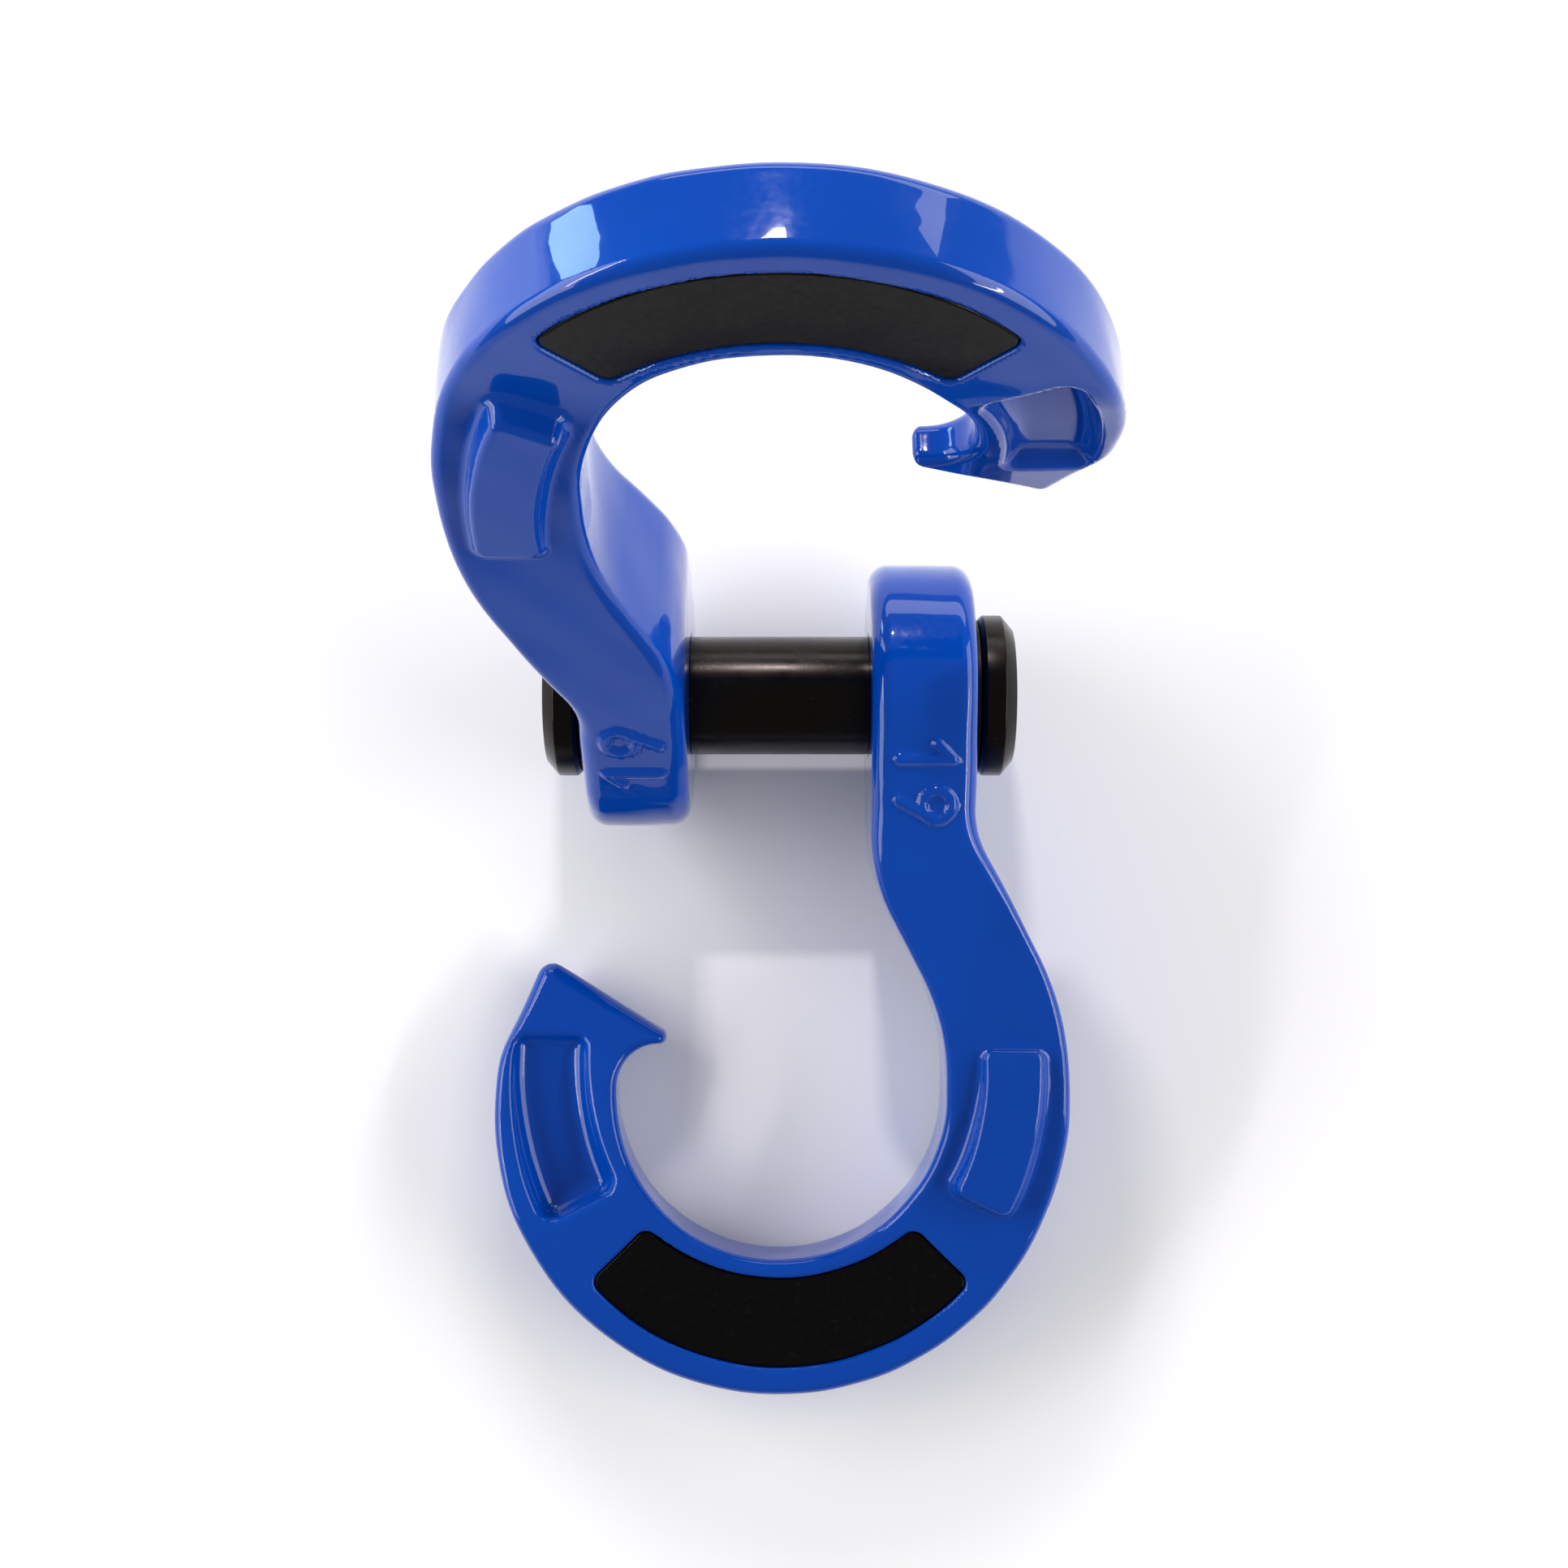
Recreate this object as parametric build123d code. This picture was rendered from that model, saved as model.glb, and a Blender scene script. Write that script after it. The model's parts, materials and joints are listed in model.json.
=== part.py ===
from build123d import *
import os
from math import asin, atan2, cos, degrees, hypot, radians, sin

# Split bow shackle: two equal forged halves that turn on one headed pin and close
# face to face into a ring.  All sizes are in millimetres.
#
# Each piece is drawn in the closed frame: X is the pin axis, the origin is the middle of
# the pin, the bow hangs towards -Z, and the halves meet on the plane Y = 0.  The lower
# half has its eye at +X and its metal on the +Y side of that plane.  The upper half is
# the same forging turned half a turn about Z and swung open about the pin.

# ---- driving dimensions ----------------------------------------------------------------
PIN_R = 11.1              # 22.2 mm pin
BORE_CLEARANCE = 0.09     # radial, pin to eye
FREE_GAP = 33.5           # between the eyes' inner faces
EYE_WIDTH = 19.0          # nominal body size of the shackle
EYE_R = 24.5
BODY_THICK = 17.0         # depth of each half's bow
MEETING_GAP = 0.4         # between the two meeting faces when closed

BOW_OUTER_R = 54.6
BOW_OUTER_Z = -78.0
BOW_INNER_R = 31.3
BOW_INNER_Z = -77.0
TIP = (-45.8, -50.2)      # ends of the tip's slanted end face
SPUR = (-21.3, -65.0)
TIP_CORNER_R = 2.8
SPUR_CORNER_R = 1.5
LIMB_ANGLE = 8.0          # where the bow's circle gives way to the tip's straighter limb
RAMP_FOOT_Z = -97.0       # where the meeting face leaves the plane Y = 0

BACK_EDGE_R = 3.5         # rounding of the back's and the eye's edges

LUG_CENTRE = (-13.5, -70.8)   # of the key's arcs
KEY_RADII = (51.8, 62.3)
KEY_HIGH_Z = -66.2        # the key's two ends
KEY_LOW_ANGLE = -26.0     # degrees below the horizontal
KEY_MIDDLE = (7.3, -82.5)     # height above the plane Y = 0 and Z in the middle of the key
KEY_TILT = 8.5            # degrees; the key's top rises towards the pin
LUG_DRAFT = 18.0          # degrees
LUG_CORNER_R = 1.5
POCKET_DEEPER = 1.6       # the pocket's floor lies this far below the key's top
POCKET_INNER_MARGIN = 0.2     # the pocket's floor is this much wider than the key's top
POCKET_OUTER_MARGIN = 1.2

PLATE_OUTER = (-79.0, 48.2)   # centre Z and radius of the plate's outer edge
PLATE_INNER = (-71.8, 38.3)
PLATE_HALF_ANGLE = 45.5
PLATE_RECESS = 3.0
PLATE_THICK = 2.6
PLATE_PLAY = 0.15
PLATE_CORNER_R = 2.3

HEAD_R = 15.1
HEAD_THICK = 6.4
HEAD_CHAMFER = 2.6
HEAD_BACK_CHAMFER = 0.8
HEX_FLATS = 12.0
HEX_DEPTH = 5.0
WASHER_R = 14.2
WASHER_THICK = 1.3
END_PLAY = 0.1            # washer to eye and washer to head, each
STUD_R = 6.0
STUD_LENGTH = 22.0
STUD_PLAY = 0.06
WASHER_PLAY = 0.2
GROOVE_WIDTH = 1.6
GROOVE_DEPTH = 0.6

OPEN_ANGLE = 115.0        # upper half's swing from closed, as the object is shown

# ---- derived dimensions ----------------------------------------------------------------
EYE_IN_X = FREE_GAP / 2
EYE_OUT_X = EYE_IN_X + EYE_WIDTH
FACE_Y = MEETING_GAP / 2
BOW_BOTTOM_Z = BOW_OUTER_Z - BOW_OUTER_R
WASHER_X = EYE_OUT_X + END_PLAY
HEAD_X = WASHER_X + WASHER_THICK + END_PLAY
ALL_X = 60.0              # beyond the widest part of a half
BODY_REACH = 30.0         # beyond the eye's front and back


def lying_tilt():
    """Degrees that lay both the eyes and the bow's back on one flat surface."""
    heel_z = BOW_BOTTOM_Z + BACK_EDGE_R
    reach = hypot(BODY_THICK, heel_z)
    return degrees(asin(EYE_R / reach) - atan2(BODY_THICK, -heel_z))


FRONT = Plane.XZ                      # sketch Y is Z, and extruding goes towards -Y
SIDE = Plane((0, 0, 0), x_dir=(0, 1, 0), z_dir=(1, 0, 0))   # sketch X is Y, sketch Y is Z


# ---- outlines --------------------------------------------------------------------------
def half_outline():
    """Front view of one half: eye, curved shank, bow and tip."""
    turn = radians(LIMB_ANGLE)
    limb = (-BOW_OUTER_R * cos(turn), BOW_OUTER_Z + BOW_OUTER_R * sin(turn))
    limb_down = (-sin(turn), -cos(turn))
    out_right = (BOW_OUTER_R, BOW_OUTER_Z)
    in_left = (-BOW_INNER_R, BOW_INNER_Z)
    in_right = (BOW_INNER_R, BOW_INNER_Z)
    up, down = (0, 1), (0, -1)
    with BuildSketch() as sketch:
        with BuildLine():
            ThreePointArc(limb, (0, BOW_BOTTOM_Z), out_right)
            Spline(out_right, (50.6, -57.5), (44.2, -41.0), (39.3, -31.5), (EYE_OUT_X, -20),
                   tangents=[up, up])
            Polyline((EYE_OUT_X, -20), (EYE_OUT_X, EYE_R), (EYE_IN_X, EYE_R), (EYE_IN_X, -27))
            Spline((EYE_IN_X, -27), (20.2, -38.0), (26.8, -53.0), in_right,
                   tangents=[down, down])
            ThreePointArc(in_right, (0, BOW_INNER_Z - BOW_INNER_R), in_left)
            Spline(in_left, (-28.6, -69.6), SPUR, tangents=[up, (1, 0.45)])
            Line(SPUR, TIP)
            Spline(TIP, limb, tangents=[(-0.42, -0.91), limb_down])
        make_face()
        fillet(sketch.vertices().sort_by_distance(TIP)[0], TIP_CORNER_R)
        fillet(sketch.vertices().sort_by_distance(SPUR)[0], SPUR_CORNER_R)
    return sketch.sketch


def side_profile(sign):
    """Side view of the shank (sign -1) or of the tip's limb (sign 1)."""
    slope = asin(EYE_R / -RAMP_FOOT_Z)
    foot = (FACE_Y, RAMP_FOOT_Z)
    touch = (sign * EYE_R * cos(slope), -EYE_R * sin(slope))
    low = BOW_BOTTOM_Z - 1
    with BuildSketch() as sketch:
        with BuildLine():
            if sign < 0:
                ThreePointArc(touch, (0, EYE_R), (EYE_R, 0))
                Spline((EYE_R, 0), (BODY_THICK, -42), tangents=[(0, -1), (0, -1)])
                Line((BODY_THICK, -42), (BODY_THICK, low))
            else:
                Polyline(touch, (touch[0], -8), (BODY_THICK + 12, -8), (BODY_THICK, -42),
                         (BODY_THICK, low))
            Polyline((BODY_THICK, low), (FACE_Y, low), foot, touch)
        make_face()
    return sketch.sketch


def lug_outline(inner_grow, outer_grow):
    """Arc-shaped key or pocket outline on the side of the bow, on the +X side."""
    centre_x, centre_z = LUG_CENTRE
    inner, outer = KEY_RADII[0] - inner_grow, KEY_RADII[1] + outer_grow

    def at(radius, angle):
        return (centre_x + radius * cos(angle), centre_z + radius * sin(angle))

    def span(radius):
        """Lowest, middle and highest point of the arc of this radius."""
        low = radians(KEY_LOW_ANGLE) - asin(inner_grow / radius)
        high = asin((KEY_HIGH_Z + inner_grow - centre_z) / radius)
        return at(radius, low), at(radius, (low + high) / 2), at(radius, high)

    out_low, out_mid, out_high = span(outer)
    in_low, in_mid, in_high = span(inner)
    edges = [
        ThreePointArc(out_low, out_mid, out_high), Line(out_high, in_high),
        ThreePointArc(in_high, in_mid, in_low), Line(in_low, out_low),
    ]
    return fillet(make_face(edges).vertices(), LUG_CORNER_R)


def lug_solid(outline, height, thickness):
    """Tapered block under a top outline, the top at this height over the key's middle Z.

    The top leans with KEY_TILT and the block widens downwards, away from it."""
    middle_z = KEY_MIDDLE[1]
    top = Plane((0, -height, middle_z), x_dir=(1, 0, 0), z_dir=FRONT.z_dir)
    top = top.rotated((KEY_TILT, 0, 0))
    return extrude(top * Pos(0, -middle_z) * outline, amount=thickness, taper=-LUG_DRAFT)


def plate_outline(play):
    """Arc-shaped plate across the bottom of the bow."""
    out_z, out_r = PLATE_OUTER
    in_z, in_r = PLATE_INNER
    half = radians(PLATE_HALF_ANGLE)
    apex_z = (out_z + in_z) / 2 - play / sin(half)
    far = 100.0
    ring = Pos(0, out_z) * Circle(out_r - play) - Pos(0, in_z) * Circle(in_r + play)
    wedge = make_face(Polyline(
        (0, apex_z), (far * sin(half), apex_z - far * cos(half)),
        (-far * sin(half), apex_z - far * cos(half)), close=True,
    ))
    outline = ring & wedge
    return fillet(outline.vertices(), PLATE_CORNER_R)


# ---- pieces in the closed frame --------------------------------------------------------
def blank_half():
    """The forging before its key, pocket, recess and bore."""
    body = extrude(FRONT.offset(-BODY_REACH) * half_outline(), amount=2 * BODY_REACH)
    shank = extrude(SIDE * side_profile(-1), amount=ALL_X)
    limb = extrude(SIDE * side_profile(1), amount=-ALL_X)
    return body & (shank + limb)


def rounded_edges(blank):
    """The edges round the back of the forging and round the eye's two faces."""
    for edge in blank.edges():
        middle = edge @ 0.5
        heading = edge % 0.5
        is_across = edge.geom_type == GeomType.LINE and max(abs(heading.X), abs(heading.Y)) > 0.999
        is_eye = edge.geom_type == GeomType.CIRCLE and middle.Z > 0
        if not is_across and (middle.Y > BODY_THICK - 1 or is_eye):
            yield edge


def half():
    """One finished forging, drawn as the lower half."""
    blank = blank_half()
    body = fillet(list(rounded_edges(blank)), BACK_EDGE_R)
    height = KEY_MIDDLE[0]
    key = lug_solid(lug_outline(0, 0), height, -height - 3)
    pocket_outline = lug_outline(POCKET_INNER_MARGIN, POCKET_OUTER_MARGIN)
    pocket = mirror(mirror(lug_solid(pocket_outline, height + POCKET_DEEPER, -height - 3),
                           about=Plane.XZ), about=Plane.YZ)
    recess = extrude(FRONT.offset(-FACE_Y) * plate_outline(0), amount=-PLATE_RECESS)
    bore = Cylinder(PIN_R + BORE_CLEARANCE, 2 * ALL_X, rotation=(0, 90, 0))
    return body + key - pocket - recess - bore


def plate():
    """Flat arc-shaped plate bonded into the bow's recess."""
    seat = FRONT.offset(-FACE_Y - PLATE_RECESS)
    return extrude(seat * plate_outline(PLATE_PLAY), amount=PLATE_THICK)


def head():
    """Pin head with a hex socket, its back on X = HEAD_X and its face further out."""
    profile = Polyline(
        (HEAD_X, 0), (HEAD_X, HEAD_R - HEAD_BACK_CHAMFER), (HEAD_X + HEAD_BACK_CHAMFER, HEAD_R),
        (HEAD_X + HEAD_THICK - HEAD_CHAMFER * 0.85, HEAD_R),
        (HEAD_X + HEAD_THICK, HEAD_R - HEAD_CHAMFER), (HEAD_X + HEAD_THICK, 0), close=True,
    )
    disc = revolve(make_face(profile), Axis.X)
    face = Plane((HEAD_X + HEAD_THICK, 0, 0), x_dir=(0, 1, 0), z_dir=(1, 0, 0))
    return disc - extrude(face * RegularPolygon(HEX_FLATS / 2, 6, major_radius=False), -HEX_DEPTH)


def shaft(radius, from_x, to_x):
    """Round bar along the pin's axis."""
    middle = (from_x + to_x) / 2
    return Pos(middle, 0, 0) * Cylinder(radius, to_x - from_x, rotation=(0, 90, 0))


def pin():
    """Shaft with its own head at -X, greased grooves in the eyes and a tapped end at +X."""
    body = shaft(PIN_R, -HEAD_X, HEAD_X) + mirror(head(), about=Plane.YZ)
    for from_x in (EYE_IN_X, -EYE_IN_X - GROOVE_WIDTH):
        to_x = from_x + GROOVE_WIDTH
        body -= shaft(PIN_R + 1, from_x, to_x) - shaft(PIN_R - GROOVE_DEPTH, from_x, to_x)
    return body - shaft(STUD_R + STUD_PLAY, HEAD_X - STUD_LENGTH - 2, HEAD_X + 1)


def pin_cap():
    """Screwed-on head at +X; its stud goes into the pin's tapped end."""
    return head() + shaft(STUD_R, HEAD_X - STUD_LENGTH, HEAD_X)


def washer(side):
    """Thrust washer between an eye and a head; side is -1 or 1."""
    ring = shaft(WASHER_R, WASHER_X, WASHER_X + WASHER_THICK)
    ring -= shaft(PIN_R + WASHER_PLAY, WASHER_X - 1, WASHER_X + WASHER_THICK + 1)
    return ring if side > 0 else mirror(ring, about=Plane.YZ)


# ---- places in the object's own frame ---------------------------------------------------
# +Z is up.  The lower half lies on its back, on the bow and the eye, and the upper half
# stands open on the pin.
LYING = Rot(X=lying_tilt() - 90)
UPPER = LYING * Rot(X=-OPEN_ANGLE) * Rot(Z=180)


def make_parts():
    """Every piece in its place, by name."""
    forging = half()
    insert = plate()
    return {
        "lower_half": LYING * forging,
        "upper_half": UPPER * forging,
        "lower_plate": LYING * insert,
        "upper_plate": UPPER * insert,
        "pin": LYING * pin(),
        "pin_cap": LYING * pin_cap(),
        "washer_left": LYING * washer(-1),
        "washer_right": LYING * washer(1),
    }


if __name__ == "__main__":
    os.makedirs("parts", exist_ok=True)
    for name, shape in make_parts().items():
        export_step(shape, f"parts/{name}.step")
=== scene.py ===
import json
import math

import bpy
import numpy as np
from mathutils import Matrix, Vector


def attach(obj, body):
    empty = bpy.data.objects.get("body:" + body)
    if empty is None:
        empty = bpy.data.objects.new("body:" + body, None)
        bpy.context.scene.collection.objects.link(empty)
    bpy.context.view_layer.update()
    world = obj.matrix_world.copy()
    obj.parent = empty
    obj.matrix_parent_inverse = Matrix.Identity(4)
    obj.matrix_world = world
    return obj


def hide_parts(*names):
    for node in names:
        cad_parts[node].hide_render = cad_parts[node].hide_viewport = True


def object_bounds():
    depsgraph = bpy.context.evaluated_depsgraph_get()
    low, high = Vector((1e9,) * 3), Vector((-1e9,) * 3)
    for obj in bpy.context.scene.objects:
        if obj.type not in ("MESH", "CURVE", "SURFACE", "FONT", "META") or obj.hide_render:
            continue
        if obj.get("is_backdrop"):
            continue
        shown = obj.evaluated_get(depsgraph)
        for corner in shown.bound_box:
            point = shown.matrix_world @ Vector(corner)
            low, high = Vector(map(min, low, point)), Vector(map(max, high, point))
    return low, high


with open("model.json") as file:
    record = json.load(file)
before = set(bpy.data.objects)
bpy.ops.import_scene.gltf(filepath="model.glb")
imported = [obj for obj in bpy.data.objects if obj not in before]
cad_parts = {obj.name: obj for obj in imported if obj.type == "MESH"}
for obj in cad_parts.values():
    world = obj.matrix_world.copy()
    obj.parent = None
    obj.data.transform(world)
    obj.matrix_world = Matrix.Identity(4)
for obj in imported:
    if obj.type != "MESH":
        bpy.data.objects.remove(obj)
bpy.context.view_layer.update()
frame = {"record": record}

# Shapes are worked out in millimetres in the shackle's closed frame: X is the pin axis, the
# bow hangs towards -Z and the halves meet on Y = 0.  They are then placed in the row's frame.
MM = 0.001

PIN_R = 11.1
BORE_CLEARANCE = 0.12     # radial, pin to eye
FREE_GAP = 33.5           # between the eyes' inner faces
EYE_WIDTH = 19.0
EYE_R = 24.5
BODY_THICK = 17.0
FACE_Y = 0.2              # of the meeting face; the halves keep twice this apart
BOW_OUTER_R = 54.6
BOW_INNER_R = 31.3
BOW_INNER_Z = -75.7
TIP_CORNER_R = 3.0
SPUR_CORNER_R = 1.4
TIP_END_ANGLE = -31.5     # degrees; the tip's slanted end face
CROOK_R = 8.0             # between the spur and the bow's inner edge
CROOK_Z = -75.0
RAMP_FOOT_Z = -97.0       # where the meeting face starts its ramp to the eye
RAMP_BLEND_R = 40.0
BACK_TAPER = math.radians(14.0)     # the back's slope from the eye to the bow
BACK_BLEND_R = 40.0
OUTLINE_END_Z = -170.0    # the side outlines start and end well below the bow

FRONT_EDGE_R = 2.0
BACK_EDGE_EXTRA_R = 0.9
EYE_EDGE_R = 3.6
BORE_RIM_R = 0.9
LUG_CENTRE = (-13.5, -70.8)
KEY_RADII = (51.8, 62.3)
KEY_HIGH_Z = -66.2
KEY_LOW_ANGLE = math.radians(-26.0)
KEY_MIDDLE = (7.3, -82.5)
KEY_TILT = math.radians(8.5)
DRAFT = math.radians(18.0)
LUG_CORNER_R = 1.7
KEY_EDGE_R = 0.9
KEY_FILLET_R = 1.2
POCKET_FLOOR_R = 3.0
POCKET_RIM_R = 1.0
POCKET_DEEPER = 1.6
POCKET_MARGINS = (0.2, 1.6)
PLATE_OUTER = (-79.0, 48.2)
PLATE_INNER = (-71.8, 38.3)
PLATE_HALF_ANGLE = math.radians(45.5)
PLATE_CORNER_R = 2.3
RECESS_DEPTH = 3.0
RECESS_FLOOR_R = 0.4
RECESS_RIM_R = 0.45
PLATE_SUNK = 0.4          # the plate's face below the meeting face
PLATE_LIFT = 0.02         # the plate's back off the recess floor
PLATE_PLAY = 0.15
PLATE_SHRINK = 0.05
PLATE_EDGE_R = 0.5

EYE_IN_X = FREE_GAP / 2
EYE_OUT_X = EYE_IN_X + EYE_WIDTH


# ---- placing --------------------------------------------------------------------------
record = frame["record"]
back_axis = next(m["axis"] for m in record["mounts"] if m["name"] == "back_face")
swing = next(j for j in record["behaviour"]["joints"] if j["name"] == "upper_swing")
LYING = Matrix.Rotation(math.asin(back_axis[1]) - math.pi / 2, 4, "X")
OPENED = Matrix.Rotation(math.radians(swing["range_deg"][0]), 4, "X")
UPPER = LYING @ OPENED @ Matrix.Rotation(math.pi, 4, "Z")


# ---- signed distances -----------------------------------------------------------------
def both(a, b, r):
    """Where a and b overlap, with convex edges of radius r."""
    u, v = np.maximum(a + r, 0), np.maximum(b + r, 0)
    return np.minimum(np.maximum(a, b), -r) + np.sqrt(u * u + v * v)


def either(a, b, r):
    """a and b joined, with a fillet of radius r."""
    return -both(-a, -b, r)


def without(a, b, r):
    """a with b cut away, with the cut's rim rounded to radius r."""
    return both(a, -b, r)


def trace(start, heading, moves):
    """Lines and arcs run one after another, as pieces that outline_distance reads.

    heading is in degrees from the first axis.  A move is a length, or (radius, turn in
    degrees), where a positive turn is to the left."""
    at, way = np.array(start, float), math.radians(heading)
    pieces = []
    for move in moves:
        ahead = np.array([math.cos(way), math.sin(way)])
        if isinstance(move, tuple):
            radius, turn = move[0], math.radians(move[1])
            side = math.copysign(1, turn)
            centre = at + side * radius * np.array([-ahead[1], ahead[0]])
            spoke = at - centre
            way += turn
            c, s = math.cos(turn), math.sin(turn)
            at = centre + np.array([c * spoke[0] - s * spoke[1], s * spoke[0] + c * spoke[1]])
            middle = math.atan2(spoke[1], spoke[0]) + turn / 2
            pieces.append(("arc", centre, radius, side, middle, abs(turn) / 2))
        else:
            pieces.append(("line", at, ahead, move))
            at = at + ahead * move
    return pieces, at


def outline_distance(pieces, a, b):
    """Signed distance from a traced outline whose inside is on its right."""
    best = np.full(np.broadcast(a, b).shape, 1e9)
    signed = best.copy()
    for piece in pieces:
        if piece[0] == "arc":
            _, centre, radius, side, middle, half = piece
            u, v = a - centre[0], b - centre[1]
            offset = (radius - np.sqrt(u * u + v * v)) * side
            angle = np.arctan2(v, u) - middle
            angle = np.abs((angle + math.pi) % (2 * math.pi) - math.pi)
            distance = np.where(angle <= half + 1e-6, np.abs(offset), 1e9)
        else:
            _, at, ahead, length = piece
            u, v = a - at[0], b - at[1]
            along = np.clip(u * ahead[0] + v * ahead[1], 0, length)
            offset = ahead[0] * v - ahead[1] * u
            distance = np.hypot(u - along * ahead[0], v - along * ahead[1])
        nearer = distance < best
        best = np.where(nearer, distance, best)
        signed = np.where(nearer, np.copysign(distance, offset), signed)
    return signed


# ---- the forging ----------------------------------------------------------------------
def front_outline():
    """Front view of a half: down the shank, round the bow, over the tip and back up.

    The plain numbers are lengths and (radius, turn) pairs along the shank and the limb."""
    above = 45.0
    pieces, tip = trace((EYE_OUT_X, above), -90, [
        above + 20.6, (20.0, 28.1), 19.2, (62.0, -28.1), 1.8,
        (BOW_OUTER_R, -186.0), (20.0, -18.4), 13.9,
        (TIP_CORNER_R, -95.6 + 30 + TIP_END_ANGLE),
    ])
    spur_turn = (SPUR_CORNER_R, -180 - TIP_END_ANGLE)
    _, spur = trace(tip, TIP_END_ANGLE, [spur_turn])
    crook_x = -BOW_INNER_R + CROOK_R
    face_length = (spur[1] - CROOK_Z - CROOK_R) / math.sin(math.radians(-TIP_END_ANGLE))
    end_x = spur[0] + face_length * math.cos(math.radians(TIP_END_ANGLE))
    more, _ = trace(tip, TIP_END_ANGLE, [
        face_length, spur_turn, max(end_x - crook_x, 0.0), (CROOK_R, 90.0),
        CROOK_Z - BOW_INNER_Z, (BOW_INNER_R, 180.0), 2.7, (46.2, 28.0), 11.0,
        (34.0, -28.0), 80.0,
    ])
    return pieces + more


def ramp_angle():
    """Slope of the meeting face's ramp, which is tangent to the eye."""
    reach = math.hypot(FACE_Y, RAMP_FOOT_Z)
    return math.asin(EYE_R / reach) + math.atan2(FACE_Y, -RAMP_FOOT_Z)


def ramp_start():
    """Start of a side outline, the blend's length along the ramp and the rise up to the blend."""
    blend = RAMP_BLEND_R * math.tan(ramp_angle() / 2)
    return (FACE_Y, OUTLINE_END_Z), blend, RAMP_FOOT_Z - blend - OUTLINE_END_Z


def side_outline():
    """Side view of the shank and eye: up the meeting face, over the eye, down the back."""
    slope = ramp_angle()
    start, blend, rise = ramp_start()
    ramp = math.sqrt(FACE_Y ** 2 + RAMP_FOOT_Z ** 2 - EYE_R ** 2) - blend
    eye_back = EYE_R * math.cos(BACK_TAPER)
    blend_depth = BACK_BLEND_R * (1 - math.cos(BACK_TAPER))
    drop = (eye_back - blend_depth - BODY_THICK) / math.sin(BACK_TAPER)
    pieces, _ = trace(start, 90, [
        rise, (RAMP_BLEND_R, math.degrees(slope)), ramp,
        (EYE_R, -math.degrees(slope + BACK_TAPER) - 180), drop,
        (BACK_BLEND_R, math.degrees(BACK_TAPER)), 150.0,
    ])
    return pieces


def limb_outline():
    """Side view of the tip's meeting face, which recedes by the same ramp."""
    start, _, rise = ramp_start()
    pieces, _ = trace(start, 90, [
        rise, (RAMP_BLEND_R, -math.degrees(ramp_angle())), 150.0,
    ])
    return pieces


def lug_distance(x, y, z, height, margins, top_r):
    """Tapered key, or the room a pocket makes for one, on the +X side of the bow.

    Its top is height over the middle, leans with KEY_TILT and has an edge radius of top_r."""
    c, s = math.cos(KEY_TILT), math.sin(KEY_TILT)
    up, along = y + height, z - KEY_MIDDLE[1]
    over = -c * up - s * along
    z_in_top = c * along - s * up + KEY_MIDDLE[1]
    u, v = x - LUG_CENTRE[0], z_in_top - LUG_CENTRE[1]
    rho = np.hypot(u, v)
    band = np.maximum(KEY_RADII[0] - margins[0] - rho, rho - KEY_RADII[1] - margins[1])
    below = (u * math.sin(KEY_LOW_ANGLE) - v * math.cos(KEY_LOW_ANGLE)) - margins[0]
    high = z_in_top - KEY_HIGH_Z - margins[0]
    outline = both(both(band, high, LUG_CORNER_R), below, LUG_CORNER_R)
    wall = (outline + over * math.tan(DRAFT)) * math.cos(DRAFT)
    return both(over, wall, top_r)


def plate_distance(x, z):
    """Outline of the arc-shaped plate across the bottom of the bow."""
    outer = np.hypot(x, z - PLATE_OUTER[0]) - PLATE_OUTER[1]
    inner = PLATE_INNER[1] - np.hypot(x, z - PLATE_INNER[0])
    apex = (PLATE_OUTER[0] + PLATE_INNER[0]) / 2
    wedge = np.abs(x) * math.cos(PLATE_HALF_ANGLE) - (apex - z) * math.sin(PLATE_HALF_ANGLE)
    return both(both(outer, wedge, PLATE_CORNER_R), inner, PLATE_CORNER_R)


# The generic size mark on the eye's front, a 1 and a 9 in plain strokes.  The figures run
# towards -Z and their tops point towards +X.
MARK_X = 26.3
MARK_Z = -17.0
MARK_HEIGHT = 9.6
STROKE_HALF_WIDTH = 0.9
MARK_RAISE = 0.75
MARK_FLANK = 1.1
ONE_U = -4.6              # the 1's stem, along the line of figures
NINE_U = 3.6              # the 9's middle
NINE_RING_R = 2.7


def stroke(u, v, start, end):
    """Distance from a straight stroke between two points."""
    ux, vy = end[0] - start[0], end[1] - start[1]
    share = np.clip(((u - start[0]) * ux + (v - start[1]) * vy) / (ux * ux + vy * vy), 0, 1)
    return np.hypot(u - start[0] - share * ux, v - start[1] - share * vy)


def mark_distance(x, z):
    """Distance from the strokes of the size mark."""
    u, v = -(z - MARK_Z), x - MARK_X
    half = MARK_HEIGHT / 2
    one = np.minimum(stroke(u, v, (ONE_U, -half), (ONE_U, half)),
                     stroke(u, v, (-7.4, half - 2.8), (ONE_U, half)))
    ring = np.abs(np.hypot(u - NINE_U, v - half + NINE_RING_R) - NINE_RING_R)
    tail = stroke(u, v, (NINE_U + NINE_RING_R, half - NINE_RING_R), (2.8, -half))
    return np.minimum(one, np.minimum(ring, tail)) - STROKE_HALF_WIDTH


def smooth_step(t):
    """0 below 0, 1 above 1, and a smooth rise between."""
    t = np.clip(t, 0, 1)
    return t * t * (3 - 2 * t)


def forging_waves(x, y, z):
    """Slow unevenness of a forged and thickly coated surface, in millimetres."""
    return 0.07 * (np.sin(0.21 * x + 0.13 * y + 1.3) * np.sin(0.17 * z - 0.11 * y + 0.4)
                   + np.sin(0.34 * z + 0.19 * x) * np.sin(0.29 * y - 0.23 * x + 2.1))


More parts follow.
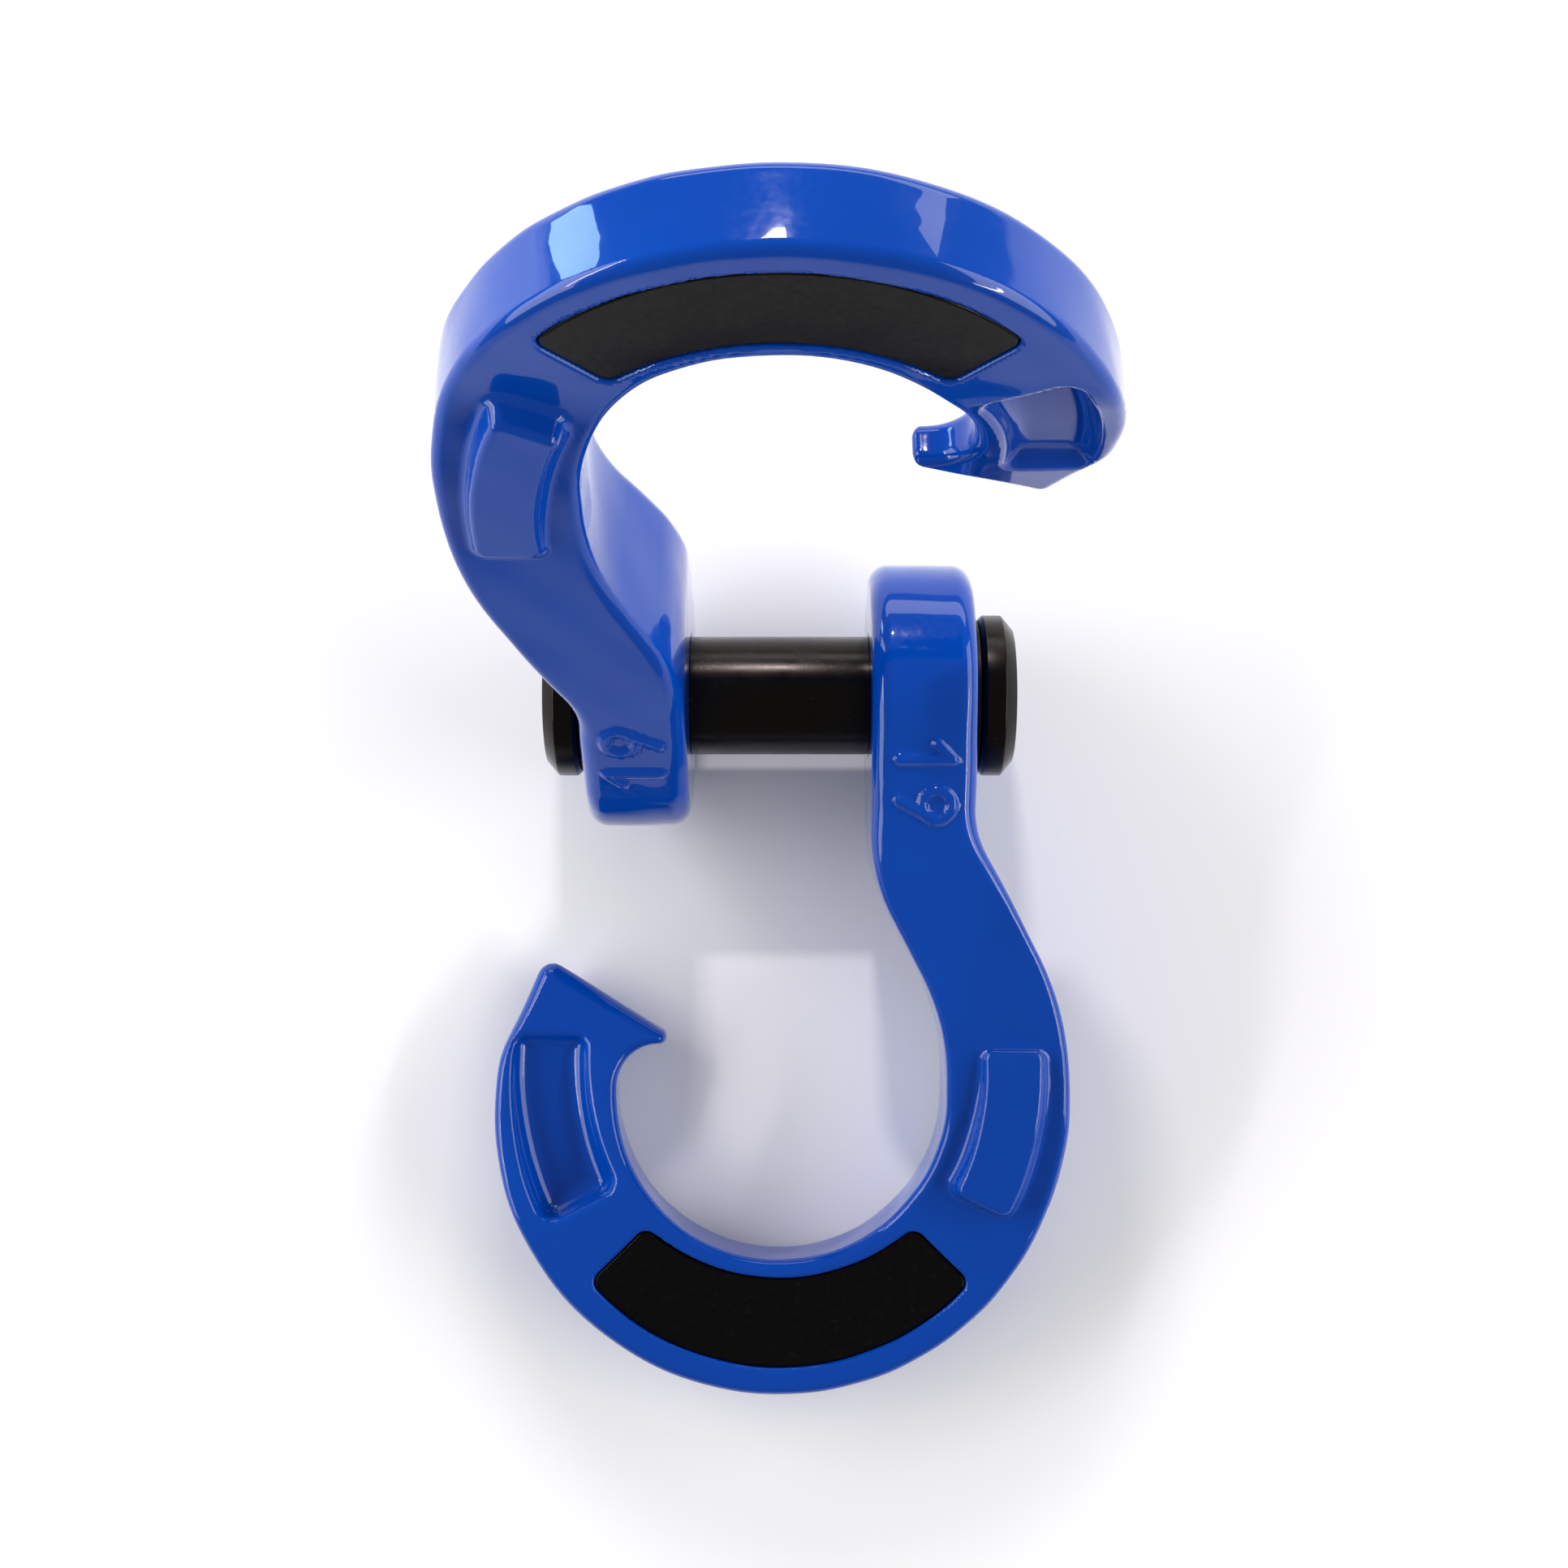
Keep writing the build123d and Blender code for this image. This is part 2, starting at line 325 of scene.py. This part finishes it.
FRONT = front_outline()
SIDE = side_outline()
LIMB = limb_outline()


def half_distance(x, y, z):
    """Signed distance to one forged half, drawn as the lower half."""
    outline = outline_distance(FRONT, x, z)
    shank = outline_distance(SIDE, y, z)
    limb = np.maximum(outline_distance(LIMB, y, z), y - BODY_THICK)
    profile = np.where(x > 0, shank, limb)
    eye_share = smooth_step((z + 45) / 25)
    back_share = smooth_step((y - 4 - 3 * (x < 0)) / 5)
    bow_edge_r = FRONT_EDGE_R + BACK_EDGE_EXTRA_R * back_share
    edge_r = bow_edge_r * (1 - eye_share) + EYE_EDGE_R * eye_share
    body = both(outline, profile, edge_r)

    key = lug_distance(x, y, z, KEY_MIDDLE[0], (0, 0), KEY_EDGE_R)
    body = either(body, np.maximum(key, np.maximum(y - 3, -x)), KEY_FILLET_R)
    pocket_depth = KEY_MIDDLE[0] + POCKET_DEEPER
    pocket = lug_distance(-x, -y, z, pocket_depth, POCKET_MARGINS, POCKET_FLOOR_R)
    body = without(body, np.maximum(pocket, x), POCKET_RIM_R)

    recess = both(y - FACE_Y - RECESS_DEPTH, plate_distance(x, z), RECESS_FLOOR_R)
    body = without(body, recess, RECESS_RIM_R)
    body = without(body, np.hypot(y, z) - PIN_R - BORE_CLEARANCE, BORE_RIM_R)

    mark_share = smooth_step(0.5 - mark_distance(x, z) / MARK_FLANK)
    raised = MARK_RAISE * mark_share * (y < 0) * (x > 0)
    off_bore = smooth_step(np.hypot(y, z) / 9 - 1.4)
    return body - raised - forging_waves(x, y, z) * off_bore


def plate_solid_distance(x, y, z):
    """Signed distance to the bonded plate."""
    front, back = FACE_Y + PLATE_SUNK, FACE_Y + RECESS_DEPTH - PLATE_LIFT
    outline = plate_distance(x, z) + PLATE_PLAY + PLATE_SHRINK
    return both(outline, np.maximum(front - y, y - back), PLATE_EDGE_R)


# ---- meshing --------------------------------------------------------------------------
def net(distance, low, high, pitch):
    """Points and four-sided faces of a distance function's zero surface."""
    axes = [np.arange(a, b + pitch, pitch) for a, b in zip(low, high)]
    grid = distance(axes[0][:, None, None], axes[1][None, :, None], axes[2][None, None, :])
    inside = grid < 0
    nx, ny, nz = (n - 1 for n in grid.shape)
    total = np.zeros((nx, ny, nz, 3))
    count = np.zeros((nx, ny, nz))
    crossings = []
    for axis in range(3):
        a = [slice(None)] * 3
        b = [slice(None)] * 3
        a[axis], b[axis] = slice(0, -1), slice(1, None)
        here, there = grid[tuple(a)], grid[tuple(b)]
        change = (here < 0) != (there < 0)
        index = np.argwhere(change)
        share = here[change] / (here[change] - there[change])
        point = index.astype(float)
        point[:, axis] += share
        crossings.append((index, inside[tuple(a)][change]))
        u, v = [k for k in range(3) if k != axis]
        for du in (0, 1):
            for dv in (0, 1):
                cell = index.copy()
                cell[:, u] -= du
                cell[:, v] -= dv
                ok = np.all((cell >= 0) & (cell < (nx, ny, nz)), axis=1)
                where = tuple(cell[ok].T)
                np.add.at(total, where, point[ok])
                np.add.at(count, where, 1)
    number = -np.ones((nx, ny, nz), int)
    used = count > 0
    number[used] = np.arange(used.sum())
    points = total[used] / count[used][:, None] * pitch + np.array(low)
    faces = []
    for axis, (index, starts_inside) in enumerate(crossings):
        u, v = (axis + 1) % 3, (axis + 2) % 3
        corners = []
        for du, dv in ((0, 0), (1, 0), (1, 1), (0, 1)):
            cell = index.copy()
            cell[:, u] -= du
            cell[:, v] -= dv
            corners.append(number[tuple(cell.T)])
        quad = np.stack(corners, axis=1)
        quad[~starts_inside] = quad[~starts_inside][:, ::-1]
        faces.append(quad)
    return points, np.concatenate(faces)


def slope(distance, points, step):
    """Gradient of the distance at each point."""
    columns = []
    for axis in range(3):
        ahead, behind = points.copy(), points.copy()
        ahead[:, axis] += step
        behind[:, axis] -= step
        columns.append((distance(*ahead.T) - distance(*behind.T)) / (2 * step))
    return np.stack(columns, axis=1)


def settle(distance, points, rounds=2, step=0.05):
    """Points moved onto the zero surface, and the surface's normals there."""
    for _ in range(rounds):
        gradient = slope(distance, points, step)
        size = np.maximum((gradient ** 2).sum(1), 0.2)
        points = points - gradient * (distance(*points.T) / size)[:, None]
    gradient = slope(distance, points, step)
    return points, gradient / np.maximum(np.linalg.norm(gradient, axis=1), 1e-9)[:, None]


def solid(distance, low, high, pitch):
    """Settled points, faces and normals of a distance function's solid."""
    points, faces = net(distance, low, high, pitch)
    points, normals = settle(distance, points)
    return points, faces, normals


def add_mesh(name, points, faces, matrix, normals=None):
    """A smooth mesh object from millimetre points in the closed frame."""
    rotation = np.array(matrix.to_3x3())
    placed = points @ rotation.T * MM
    mesh = bpy.data.meshes.new(name)
    mesh.from_pydata(placed.tolist(), [], [tuple(f) for f in np.asarray(faces).tolist()]
                     if isinstance(faces, np.ndarray) else faces)
    mesh.shade_smooth()
    mesh.update()
    if normals is not None:
        mesh.normals_split_custom_set_from_vertices((normals @ rotation.T).tolist())
    piece = bpy.data.objects.new(name, mesh)
    bpy.context.scene.collection.objects.link(piece)
    return piece


# ---- turned pieces --------------------------------------------------------------------
ROUND_STEPS = 144         # points round each turned piece


def rounded_profile(corners, steps=4):
    """Points along a profile of (x, radius, rounding) corners, with each corner rounded."""
    points = []
    for i, (x, r, rounding) in enumerate(corners):
        here = np.array([x, r], float)
        if rounding == 0:
            points.append(here)
            continue
        before = np.array(corners[i - 1][:2], float) - here
        after = np.array(corners[i + 1][:2], float) - here
        before /= np.linalg.norm(before)
        after /= np.linalg.norm(after)
        half = math.acos(np.clip(before @ after, -1, 1)) / 2
        bisector = (before + after) / np.linalg.norm(before + after)
        centre = here + bisector * rounding / math.sin(half)
        start = here + before * rounding / math.tan(half) - centre
        end = here + after * rounding / math.tan(half) - centre
        for k in range(steps + 1):
            share = k / steps
            spoke = start * (1 - share) + end * share
            points.append(centre + spoke / np.linalg.norm(spoke) * rounding)
    return points


def turned(rings):
    """Points and faces of closed rings; each ring is (x, radius of each step)."""
    angles = np.arange(ROUND_STEPS) * 2 * math.pi / ROUND_STEPS
    points, faces = [], []
    for x, radii in rings:
        radii = np.broadcast_to(radii, angles.shape)
        ring = np.stack([np.full(ROUND_STEPS, float(x)), radii * np.cos(angles),
                         radii * np.sin(angles)], axis=1)
        points.append(ring)
    for k in range(len(rings) - 1):
        a = k * ROUND_STEPS + np.arange(ROUND_STEPS)
        b = k * ROUND_STEPS + (np.arange(ROUND_STEPS) + 1) % ROUND_STEPS
        faces.append(np.stack([a, b, b + ROUND_STEPS, a + ROUND_STEPS], axis=1))
    return np.concatenate(points), np.concatenate(faces)


def hex_radii(across_flats, corner=0.35):
    """Radius of a hexagon with slightly rounded corners, at each step round."""
    angles = np.arange(ROUND_STEPS) * 2 * math.pi / ROUND_STEPS
    flat = across_flats / 2
    off = (angles + math.pi / 6) % (math.pi / 3) - math.pi / 6
    return np.minimum(flat / np.cos(off), flat / math.cos(math.pi / 6) - corner)


HEAD_X = 37.25            # the heads' backs, beyond the eyes and the washers
HEAD_THICK = 6.4
HEAD_FACE_X = HEAD_X + HEAD_THICK
HEAD_R = 15.1
HEX_FLATS = 12.0
HEX_DEPTH = 5.0
STUD_R = 6.0
STUD_LENGTH = 22.0
THREAD_PITCH = 1.75
THREAD_DEPTH = 0.85
GROOVE_WIDTH = 1.6
GROOVE_DEPTH = 0.6
WASHER_R = 14.2
END_PLAY = 0.1            # washer to eye and washer to head


def head_rings():
    """Rings of a head from the bottom of its hex socket, over its face, to its back edge."""
    hexagon = hex_radii(HEX_FLATS)
    mouth = hex_radii(HEX_FLATS + 1.0)
    floor_x = HEAD_FACE_X - HEX_DEPTH
    rings = [
        (floor_x - 1.6, 0.4), (floor_x, 4.2), (floor_x, hexagon * 0.98),
        (floor_x + 0.2, hexagon), (HEAD_FACE_X - 0.55, hexagon),
        (HEAD_FACE_X - 0.1, mouth - 0.08), (HEAD_FACE_X, mouth + 0.1),
    ]
    outside = [
        (HEAD_FACE_X, 8.2, 0), (HEAD_FACE_X, HEAD_R - 2.6, 0.5),
        (HEAD_FACE_X - 2.2, HEAD_R, 0.5),
        (HEAD_X + 0.8, HEAD_R, 0.3), (HEAD_X, HEAD_R - 0.8, 0.25), (HEAD_X, HEAD_R - 2, 0),
    ]
    return rings + [tuple(p) for p in rounded_profile(outside)]


def thread_rings(from_x, to_x, radius, runout):
    """Rings of a helical thread, fading out over runout at its start."""
    angles = np.arange(ROUND_STEPS) * 2 * math.pi / ROUND_STEPS
    count = int(abs(to_x - from_x) / THREAD_PITCH * 12)
    rings = []
    for k in range(count + 1):
        x = from_x + (to_x - from_x) * k / count
        phase = (x / THREAD_PITCH - angles / (2 * math.pi)) % 1
        groove = 0.5 - 0.5 * np.cos(2 * math.pi * phase)
        fade = smooth_step(min(abs(x - from_x), abs(to_x - x)) / runout)
        rings.append((x, radius - THREAD_DEPTH * groove * fade))
    return rings


def close_ends(points, faces):
    """The faces of a turned piece as lists, with its first and last rings filled."""
    last = len(points) - ROUND_STEPS
    return ([tuple(f) for f in faces.tolist()]
            + [tuple(range(ROUND_STEPS))[::-1], tuple(range(last, len(points)))])


def make_pin():
    """Shaft with its own head, a groove at each eye's inner end and a tapped end."""
    rings = [(-x, r) for x, r in head_rings()]
    rings.append((-HEAD_X, PIN_R + 0.4))
    shaft = [(-HEAD_X, PIN_R + 0.4, 0), (-HEAD_X, PIN_R, 0.3)]
    for start in (-EYE_IN_X - GROOVE_WIDTH, EYE_IN_X):
        low = PIN_R - GROOVE_DEPTH
        shaft += [(start, PIN_R, 0.15), (start + 0.1, low, 0.15),
                  (start + GROOVE_WIDTH - 0.1, low, 0.15), (start + GROOVE_WIDTH, PIN_R, 0.15)]
    shaft += [(HEAD_X, PIN_R, 0.35), (HEAD_X, STUD_R + 0.6, 0.15), (HEAD_X - 0.8, STUD_R, 0)]
    rings += [tuple(p) for p in rounded_profile(shaft[:1] + shaft[2:])]
    rings += thread_rings(HEAD_X - 0.9, HEAD_X - STUD_LENGTH, STUD_R, 1.0)
    rings.append((HEAD_X - STUD_LENGTH - 2, 0.4))
    points, faces = turned(rings)
    return points, close_ends(points, faces)


def make_cap():
    """Screwed-on head with its threaded stud."""
    rings = head_rings()
    rings += [(HEAD_X, STUD_R + 0.3), (HEAD_X - 0.3, STUD_R - 0.5)]
    rings += thread_rings(HEAD_X - 0.4, HEAD_X - STUD_LENGTH + 1.0, STUD_R - 0.15, 1.2)
    rings += [(HEAD_X - STUD_LENGTH, STUD_R - 1.1), (HEAD_X - STUD_LENGTH, 0.4)]
    points, faces = turned(rings)
    return points, close_ends(points, faces[:, ::-1])


def make_washer(side):
    """Thrust washer with eased edges."""
    near, far, ease = EYE_OUT_X + END_PLAY, HEAD_X - END_PLAY, 0.22
    outer, inner = WASHER_R, PIN_R + 0.25
    loop = [
        (near, inner + ease), (near, outer - ease), (near + ease, outer), (far - ease, outer),
        (far, outer - ease), (far, inner + ease), (far - ease, inner), (near + ease, inner),
    ]
    loop = loop if side > 0 else loop[::-1]
    rings = [(side * x, r) for x, r in loop + loop[:1]]
    points, faces = turned(rings)
    first = len(points) - ROUND_STEPS
    faces = np.where(faces >= first, faces - first, faces)
    return points[:first], faces


# ---- materials ------------------------------------------------------------------------
def material(name, base, metallic, roughness, **sockets):
    """A Principled material and its node tree, shader and object coordinates."""
    made = bpy.data.materials.new(name)
    made.use_nodes = True
    tree = made.node_tree
    shader = tree.nodes["Principled BSDF"]
    shader.inputs["Base Color"].default_value = (*base, 1)
    shader.inputs["Metallic"].default_value = metallic
    shader.inputs["Roughness"].default_value = roughness
    for socket, value in sockets.items():
        shader.inputs[socket.replace("_", " ")].default_value = value
    place = tree.nodes.new("ShaderNodeTexCoord")
    return made, tree, shader, place.outputs["Object"]


def noise(tree, place, scale, detail=3.0, rough=0.5):
    """A noise texture's value, with scale in waves per metre."""
    node = tree.nodes.new("ShaderNodeTexNoise")
    node.inputs["Scale"].default_value = scale
    node.inputs["Detail"].default_value = detail
    node.inputs["Roughness"].default_value = rough
    tree.links.new(place, node.inputs["Vector"])
    return node.outputs["Fac"]


def stretched(tree, place, scale):
    """Object coordinates scaled along each axis."""
    node = tree.nodes.new("ShaderNodeMapping")
    node.inputs["Scale"].default_value = scale
    tree.links.new(place, node.inputs["Vector"])
    return node.outputs["Vector"]


def spread(tree, value, low, high, from_low=0.3, from_high=0.7):
    """value mapped onto low to high."""
    node = tree.nodes.new("ShaderNodeMapRange")
    node.inputs["From Min"].default_value = from_low
    node.inputs["From Max"].default_value = from_high
    node.inputs["To Min"].default_value = low
    node.inputs["To Max"].default_value = high
    tree.links.new(value, node.inputs["Value"])
    return node.outputs["Result"]


def mixed_colour(tree, share, a, b):
    """Colour a where share is 0 and b where it is 1."""
    node = tree.nodes.new("ShaderNodeMix")
    node.data_type = "RGBA"
    node.inputs["A"].default_value = (*a, 1)
    node.inputs["B"].default_value = (*b, 1)
    tree.links.new(share, node.inputs["Factor"])
    return node.outputs["Result"]


def bump(tree, height, depth, strength=1.0, under=None):
    """A bump of the given depth in metres, on top of another bump's normal if given."""
    node = tree.nodes.new("ShaderNodeBump")
    node.inputs["Strength"].default_value = strength
    node.inputs["Distance"].default_value = depth
    tree.links.new(height, node.inputs["Height"])
    if under is not None:
        tree.links.new(under, node.inputs["Normal"])
    return node.outputs["Normal"]


def paint_material():
    """Thick gloss powder coat: orange peel, slow sag in the paint and in its coat, and faint tone
    shifts.
    """
    made, tree, shader, place = material(
        "gloss_blue_paint", (0.0, 0.053, 0.37), 0.0, 0.25, Coat_Weight=1.0, Coat_Roughness=0.025,
        Coat_IOR=1.37, Specular_IOR_Level=0.04,
    )
    tone = spread(tree, noise(tree, place, 45.0, 2.0), 0.0, 1.0)
    tree.links.new(mixed_colour(tree, tone, (0.0, 0.050, 0.355), (0.0, 0.056, 0.39)),
                   shader.inputs["Base Color"])
    tree.links.new(spread(tree, noise(tree, place, 900.0, 4.0), 0.12, 0.24),
                   shader.inputs["Roughness"])
    peel = bump(tree, noise(tree, place, 420.0, 1.0), 0.00004)
    sag = bump(tree, noise(tree, place, 95.0, 1.5), 0.0002, under=peel)
    tree.links.new(sag, shader.inputs["Normal"])
    coat = bump(tree, noise(tree, place, 90.0, 1.5), 0.00016)
    tree.links.new(coat, shader.inputs["Coat Normal"])
    return made


def black_steel_material(name, rough_low, rough_high):
    """Turned steel with an oiled black oxide: fine rings round X, smears and rubbed specks."""
    made, tree, shader, place = material(name, (0.022, 0.019, 0.017), 1.0, 0.3)
    rubbed = spread(tree, noise(tree, place, 1500.0, 5.0, 0.7), 0.0, 1.0, 0.62, 0.78)
    tree.links.new(mixed_colour(tree, rubbed, (0.020, 0.0175, 0.016), (0.10, 0.092, 0.08)),
                   shader.inputs["Base Color"])
    smear = noise(tree, place, 160.0, 4.0)
    tree.links.new(spread(tree, smear, rough_low, rough_high), shader.inputs["Roughness"])
    rings = noise(tree, stretched(tree, place, (9000.0, 60.0, 60.0)), 1.0, 2.0)
    turned_marks = bump(tree, rings, 0.0000035)
    grain = bump(tree, noise(tree, place, 2600.0, 3.0), 0.000008, under=turned_marks)
    tree.links.new(grain, shader.inputs["Normal"])
    return made


def plate_material():
    """Gloss black moulded plate: very slight sink marks, hair scratches and dust haze."""
    made, tree, shader, place = material(
        "gloss_black_plate", (0.002, 0.0015, 0.0015), 0.0, 0.16, Specular_IOR_Level=0.15,
    )
    haze = noise(tree, place, 700.0, 6.0, 0.65)
    tree.links.new(spread(tree, haze, 0.10, 0.26), shader.inputs["Roughness"])
    tree.links.new(mixed_colour(tree, spread(tree, haze, 0.0, 1.0, 0.55, 0.8),
                                (0.0018, 0.0013, 0.0013), (0.006, 0.0045, 0.0045)),
                   shader.inputs["Base Color"])
    hair = noise(tree, stretched(tree, place, (150.0, 2500.0, 2500.0)), 1.0, 3.0)
    scratches = bump(tree, hair, 0.000004)
    sink = bump(tree, noise(tree, place, 60.0, 1.0), 0.0002, under=scratches)
    tree.links.new(sink, shader.inputs["Normal"])
    return made


def floor_material():
    """Plain pale studio surface."""
    made, tree, shader, place = material("studio_floor", (0.93, 0.93, 0.93), 0.0, 0.85)
    tree.links.new(spread(tree, noise(tree, place, 30.0, 3.0), 0.8, 0.9),
                   shader.inputs["Roughness"])
    return made


# ---- building the pieces --------------------------------------------------------------
BODY_PITCH = 0.66         # of the meshing grids
PLATE_PITCH = 0.42
SHARP_ANGLE = math.radians(32)


def dress(piece, body, node, finish):
    """Gives a piece its material and says what it rides on and stands for."""
    piece.data.materials.append(finish)
    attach(piece, body)
    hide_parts(node)


def build_halves(paint, black):
    """Both forgings and both plates, each shape worked out once and placed twice."""
    forging = solid(half_distance, (-57, -27, -135), (57, 27, 27), BODY_PITCH)
    insert = solid(plate_solid_distance, (-38, -1, -129), (38, 5, -98), PLATE_PITCH)
    for side, matrix in (("lower", LYING), ("upper", UPPER)):
        for shape, part, slot, finish in ((forging, "half", "paint", paint),
                                          (insert, "plate", "plate", black)):
            points, faces, normals = shape
            piece = add_mesh(f"{side}_{part}_visual", points, faces, matrix, normals)
            dress(piece, f"{side}_half", f"{side}_{part}", finish)


def build_pin(steel, washer_steel):
    """The pin, its cap and both washers."""
    for name, shape, body, slot, finish in (
        ("pin", make_pin(), "pin", "black_steel", steel),
        ("pin_cap", make_cap(), "cap", "black_steel", steel),
        ("washer_left", make_washer(-1), "washer_left", "washer", washer_steel),
        ("washer_right", make_washer(1), "cap", "washer", washer_steel),
    ):
        points, faces = shape
        piece = add_mesh(f"{name}_visual", points, faces, LYING)
        piece.data.set_sharp_from_angle(angle=SHARP_ANGLE)
        dress(piece, body, name, finish)


build_halves(paint_material(), plate_material())
build_pin(black_steel_material("black_oxide_steel", 0.19, 0.31),
          black_steel_material("black_oxide_washer", 0.34, 0.48))


# ---- stage, light and camera ----------------------------------------------------------
FLOOR_HALF_WIDTH = 2.5    # metres
WORLD_BRIGHTNESS = 0.23

# Name, place, target, (width, height) in metres, watts and colour.
LIGHTS = (
    ("left", (-1.15, 0.1, 0.5), (0, 0, 0), (1.6, 0.6), 14.0, (1, 1, 1)),
    ("right", (1.15, 0.0, 0.5), (0, 0, 0), (1.6, 0.6), 12.5, (1, 1, 1)),
    ("far", (0.15, 1.25, 0.3), (0, 0, 0.05), (1.6, 0.3), 5.5, (1, 1, 1)),
    ("edge_left", (-0.85, 0.25, 0.62), (0, 0, 0), (0.8, 0.035), 2.6, (1.0, 0.95, 1.0)),
    ("edge_right", (0.85, -0.3, 0.55), (0, 0, 0), (0.7, 0.03), 2.0, (1.0, 0.95, 1.0)),
    ("window", (-0.655, 0.625, 0.125), (0, 0.05, 0.08), (0.09, 0.17), 0.55,
     (0.55, 0.88, 1.0)),
    ("lamp", (-0.03, 0.62, 0.5), (0, 0, 0), (0.06, 0.025), 2.2, (1.0, 0.93, 0.95)),
)


def add_floor(height):
    """A wide pale floor under the shackle."""
    size = FLOOR_HALF_WIDTH
    mesh = bpy.data.meshes.new("studio_floor")
    mesh.from_pydata([(-size, -size, height), (size, -size, height), (size, size, height),
                      (-size, size, height)], [], [(0, 1, 2, 3)])
    mesh.materials.append(floor_material())
    floor = bpy.data.objects.new("studio_floor", mesh)
    bpy.context.scene.collection.objects.link(floor)
    floor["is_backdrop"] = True


def add_light(name, place, target, size, watts, colour):
    """A soft rectangular light, width by height, facing its target."""
    light = bpy.data.lights.new(name, "AREA")
    light.shape = "RECTANGLE"
    light.size, light.size_y = size
    light.energy = watts
    light.color = colour
    lamp = bpy.data.objects.new(name, light)
    lamp.location = place
    lamp.rotation_euler = (Vector(target) - Vector(place)).to_track_quat("-Z", "Y").to_euler()
    lamp.visible_camera = False
    bpy.context.scene.collection.objects.link(lamp)


def add_world(brightness):
    """Even pale surroundings."""
    world = bpy.data.worlds.new("studio")
    world.use_nodes = True
    background = world.node_tree.nodes["Background"]
    background.inputs["Color"].default_value = (1.0, 1.0, 1.0, 1)
    background.inputs["Strength"].default_value = brightness
    bpy.context.scene.world = world
    bpy.context.scene.view_settings.view_transform = "Standard"


# The camera looks straight at the lower half's meeting face.
CAMERA_X = 0.8
CAMERA_Z = -16.7
CAMERA_DISTANCE = 432.5
LENS_PER_WIDTH = 1.460
SENSOR = 36.0


def add_camera():
    """The camera, in the closed frame's place and the row's frame."""
    data = bpy.data.cameras.new("camera")
    data.sensor_width = SENSOR
    data.lens = LENS_PER_WIDTH * SENSOR
    data.clip_start = 0.01
    camera = bpy.data.objects.new("camera", data)
    place = LYING @ Vector((CAMERA_X, -CAMERA_DISTANCE, CAMERA_Z)) * MM
    look = LYING.to_3x3() @ Matrix.Rotation(math.pi / 2, 3, "X")
    camera.matrix_world = Matrix.Translation(place) @ look.to_4x4()
    bpy.context.scene.collection.objects.link(camera)
    bpy.context.scene.camera = camera


add_floor(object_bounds()[0][2])
add_world(WORLD_BRIGHTNESS)
for light in LIGHTS:
    add_light(*light)
add_camera()
